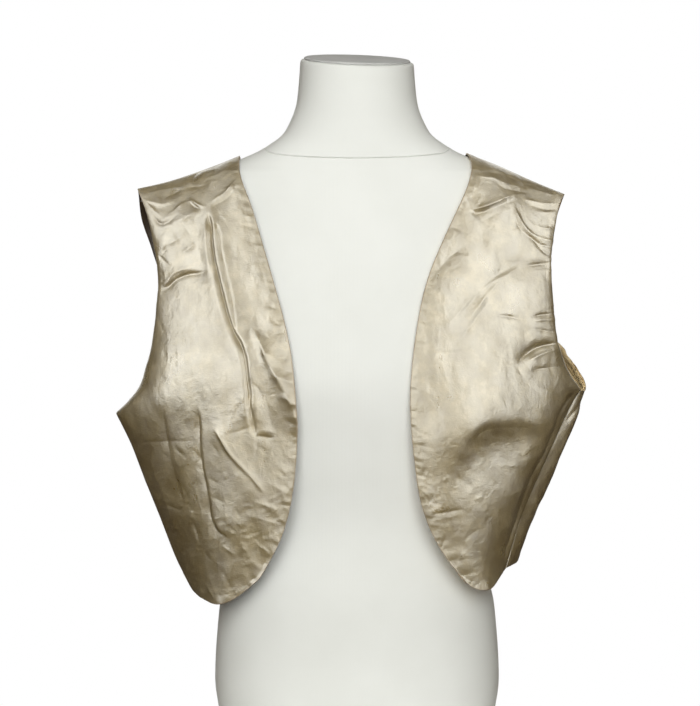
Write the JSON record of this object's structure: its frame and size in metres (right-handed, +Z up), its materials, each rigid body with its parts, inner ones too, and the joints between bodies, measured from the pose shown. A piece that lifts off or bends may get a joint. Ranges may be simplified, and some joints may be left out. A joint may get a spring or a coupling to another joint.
{
  "type": "bolero on a dress form",
  "caption": "Sleeveless open-fronted bolero of pale gold metallic cloth with rounded front edges, resting on a limbless white jersey dress form.",
  "frame": {"origin": "middle of the dress form's flat base", "axes": "+Z up, -Y the wearer's front, +X the wearer's left"},
  "size_m": [0.519, 0.2395, 0.7677],
  "materials": {
    "gold_cloth": "pale gold metallic cloth, stiff and creased, with a soft sheen",
    "satin_lining": "golden satin lining",
    "white_jersey": "matt white stretch jersey",
    "neck_cap": "matt grey-white covered cap"
  },
  "bodies": {
    "root": {"form_torso": "white_jersey", "form_neck": "white_jersey", "form_neck_cap": "neck_cap", "bolero_front_right": "gold_cloth", "bolero_front_left": "gold_cloth", "bolero_back": "gold_cloth", "armhole_lining_right": "satin_lining", "armhole_lining_left": "satin_lining"}
  },
  "joints": []
}
